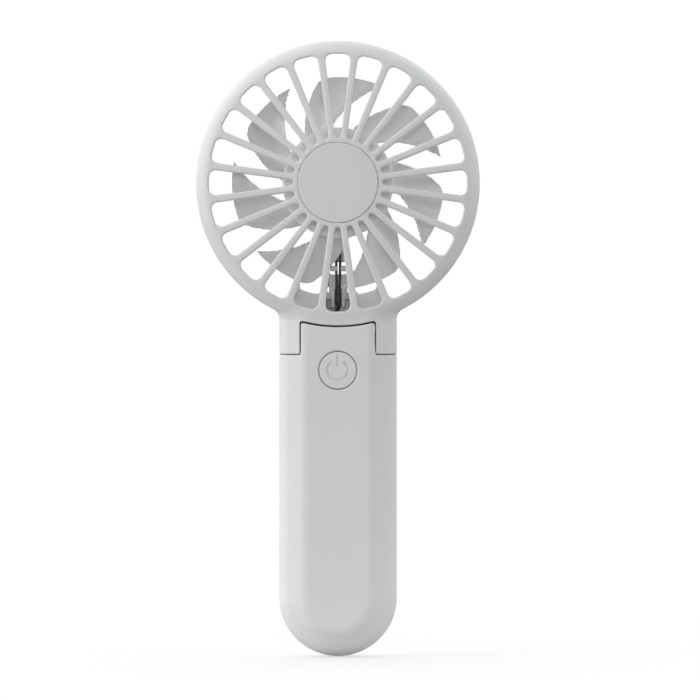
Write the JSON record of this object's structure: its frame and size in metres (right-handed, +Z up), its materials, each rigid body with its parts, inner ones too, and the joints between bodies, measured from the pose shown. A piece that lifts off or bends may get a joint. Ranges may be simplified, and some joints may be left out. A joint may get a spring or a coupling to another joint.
{
  "type": "handheld fan",
  "caption": "Handheld electric fan with a round slotted grille, a folding neck and a rounded flat handle that holds a removable cylindrical cell.",
  "frame": {"origin": "on the ground plane under the rounded lower end of the handle, midway between the two sides and between the head's front and rear crowns", "axes": "+Z runs up the handle to the head, +X is the right side seen from the front, and -Y is the front, where the air leaves"},
  "size_m": [0.104, 0.034, 0.2255],
  "materials": {
    "shell": "fine moulded texture",
    "impeller": "satin, slightly translucent",
    "cradle": "satin",
    "steel": "nickel plated",
    "brass": "satin",
    "magnet": "ferrite, dull",
    "board": "solder mask",
    "dark_plastic": "satin",
    "red_sleeve": "lead insulation",
    "dark_sleeve": "lead insulation",
    "cell_sleeve": "shrunk sleeve",
    "white_plastic": "satin"
  },
  "bodies": {
    "handle": {"handle_front_shell": "shell", "handle_rear_shell": "shell", "handle_screw_lower_left": "steel", "handle_screw_lower_right": "steel", "handle_screw_upper_left": "steel", "handle_screw_upper_right": "steel", "battery_cradle": "cradle", "contact_spring_negative": "steel", "contact_plate_positive": "steel", "control_board": "board", "tact_switch": "dark_plastic", "usb_port": "steel", "charge_chip": "dark_plastic", "boost_coil": "dark_plastic", "motor_lead_socket": "white_plastic", "charge_light_pipe": "white_plastic", "battery_lead_red": "red_sleeve", "battery_lead_black": "dark_sleeve", "motor_lead_left_lower": "dark_sleeve", "motor_lead_right_lower": "dark_sleeve", "hinge_pin_left": "steel", "hinge_pin_right": "steel", "friction_washer_left": "brass", "friction_washer_right": "brass"},
    "head": {"front_grille": "shell", "rear_grille": "shell", "hub_cap": "shell", "head_screw_left": "steel", "head_screw_right": "steel", "motor_can": "steel", "motor_magnet_ring": "magnet", "motor_end_cap": "dark_plastic", "motor_front_bush": "brass", "motor_rear_bush": "brass", "motor_terminal_left": "brass", "motor_terminal_right": "brass", "motor_lead_left": "dark_sleeve", "motor_lead_right": "dark_sleeve"},
    "rotor": {"impeller": "impeller", "motor_shaft": "steel", "motor_armature": "steel", "motor_commutator": "brass"},
    "button": {"power_button": "shell", "switch_plunger": "dark_plastic"},
    "cover": {"battery_cover": "shell"},
    "cell": {"cell_can": "steel", "cell_wrapper": "cell_sleeve", "cell_insulator_ring": "white_plastic", "cell_positive_cap": "steel"}
  },
  "joints": [
    {"name": "neck_fold", "type": "hinge", "parent": "handle", "child": "head", "pos_m": [0, 0.006, 0.1165], "axis": [-1, 0, 0], "range_deg": [0, 90]},
    {"name": "impeller_spin", "type": "hinge", "parent": "head", "child": "rotor", "pos_m": [0, 0, 0.1735], "axis": [0, -1, 0], "continuous": true},
    {"name": "power_press", "type": "slide", "parent": "handle", "child": "button", "axis": [0, 1, 0], "range_m": [0, 0.0005], "stiffness_N_per_m": 1500, "springref_m": -0.0003},
    {"name": "cover_off", "type": "slide", "parent": "handle", "child": "cover", "axis": [0, 1, 0], "range_m": [0, 0.045]},
    {"name": "cell_out", "type": "slide", "parent": "handle", "child": "cell", "axis": [0, 1, 0], "range_m": [0, 0.0225]}
  ],
  "couplings": [
    {"joint": "cell_out", "follows": "cover_off", "ratio": 0.5}
  ]
}
